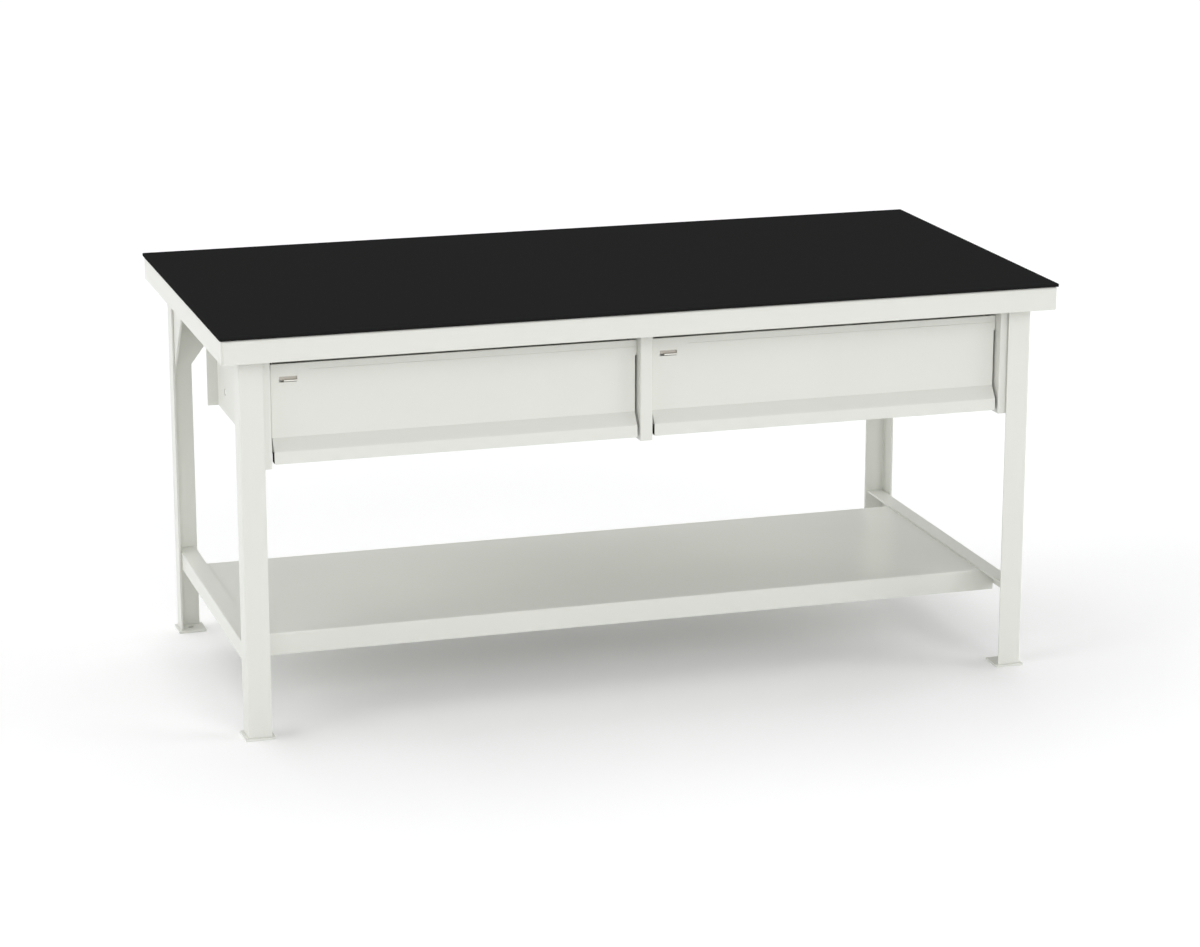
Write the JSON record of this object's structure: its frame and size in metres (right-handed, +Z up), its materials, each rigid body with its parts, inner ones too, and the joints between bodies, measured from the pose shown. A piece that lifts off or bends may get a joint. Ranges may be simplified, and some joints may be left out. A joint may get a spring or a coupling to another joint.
{
  "type": "work table",
  "caption": "Steel work table with a black mat, angle legs on anchor plates, a lower shelf and latching drawers on ball slides.",
  "frame": {"origin": "on the floor, under the middle of the top", "axes": "+X to the right along the table's length, +Y to its rear, +Z up; the drawers open towards -Y"},
  "size_m": [1.8288, 0.9144, 0.8699],
  "materials": {
    "paint": "satin off-white powder coat",
    "mat": "matte black",
    "zinc": "zinc plated",
    "slide_zinc": "bright zinc plated",
    "ball_steel": "polished",
    "fastener_zinc": "zinc plated"
  },
  "bodies": {
    "table_frame": {"drawer_divider": "paint", "drawer_hanger_left": "paint", "drawer_hanger_right": "paint", "foot_front_left": "paint", "foot_front_right": "paint", "foot_rear_left": "paint", "foot_rear_right": "paint", "hanger_nuts": "fastener_zinc", "hanger_rivets": "fastener_zinc", "hanger_studs": "fastener_zinc", "left_drawer_left_slide_cabinet_member": "slide_zinc", "left_drawer_right_slide_cabinet_member": "slide_zinc", "leg_front_left": "paint", "leg_front_right": "paint", "leg_rear_left": "paint", "leg_rear_right": "paint", "lower_shelf": "paint", "rear_back_gusset_left": "paint", "rear_back_gusset_right": "paint", "rear_side_gusset_left": "paint", "rear_side_gusset_right": "paint", "right_drawer_left_slide_cabinet_member": "slide_zinc", "right_drawer_right_slide_cabinet_member": "slide_zinc", "shelf_rib": "paint", "side_rail_left": "paint", "side_rail_right": "paint", "top_rib_1": "paint", "top_rib_2": "paint", "top_rib_3": "paint", "top_rib_4": "paint", "worktop": "paint", "worktop_mat": "mat"},
    "left_drawer": {"left_drawer_front": "paint", "left_drawer_left_slide_drawer_member": "slide_zinc", "left_drawer_pan": "paint", "left_drawer_right_slide_drawer_member": "slide_zinc", "left_drawer_rivets": "fastener_zinc", "left_latch_strap": "zinc"},
    "left_slide_cages": {"left_drawer_left_slide_ball_cage": "slide_zinc", "left_drawer_left_slide_balls": "ball_steel", "left_drawer_right_slide_ball_cage": "slide_zinc", "left_drawer_right_slide_balls": "ball_steel"},
    "left_latch": {"left_latch_bolt": "zinc"},
    "right_drawer": {"right_drawer_front": "paint", "right_drawer_left_slide_drawer_member": "slide_zinc", "right_drawer_pan": "paint", "right_drawer_right_slide_drawer_member": "slide_zinc", "right_drawer_rivets": "fastener_zinc", "right_latch_strap": "zinc"},
    "right_slide_cages": {"right_drawer_left_slide_ball_cage": "slide_zinc", "right_drawer_left_slide_balls": "ball_steel", "right_drawer_right_slide_ball_cage": "slide_zinc", "right_drawer_right_slide_balls": "ball_steel"},
    "right_latch": {"right_latch_bolt": "zinc"}
  },
  "joints": [
    {"name": "left_drawer_slide", "type": "slide", "parent": "table_frame", "child": "left_drawer", "axis": [0, -1, 0], "range_m": [0, 0.381]},
    {"name": "left_cage_slide", "type": "slide", "parent": "table_frame", "child": "left_slide_cages", "axis": [0, -1, 0], "range_m": [0, 0.1905]},
    {"name": "left_latch_slide", "type": "slide", "parent": "left_drawer", "child": "left_latch", "axis": [-1, 0, 0], "range_m": [0, 0.01]},
    {"name": "right_drawer_slide", "type": "slide", "parent": "table_frame", "child": "right_drawer", "axis": [0, -1, 0], "range_m": [0, 0.381]},
    {"name": "right_cage_slide", "type": "slide", "parent": "table_frame", "child": "right_slide_cages", "axis": [0, -1, 0], "range_m": [0, 0.1905]},
    {"name": "right_latch_slide", "type": "slide", "parent": "right_drawer", "child": "right_latch", "axis": [-1, 0, 0], "range_m": [0, 0.01]}
  ],
  "couplings": [
    {"joint": "left_cage_slide", "follows": "left_drawer_slide", "ratio": 0.5},
    {"joint": "right_cage_slide", "follows": "right_drawer_slide", "ratio": 0.5}
  ]
}
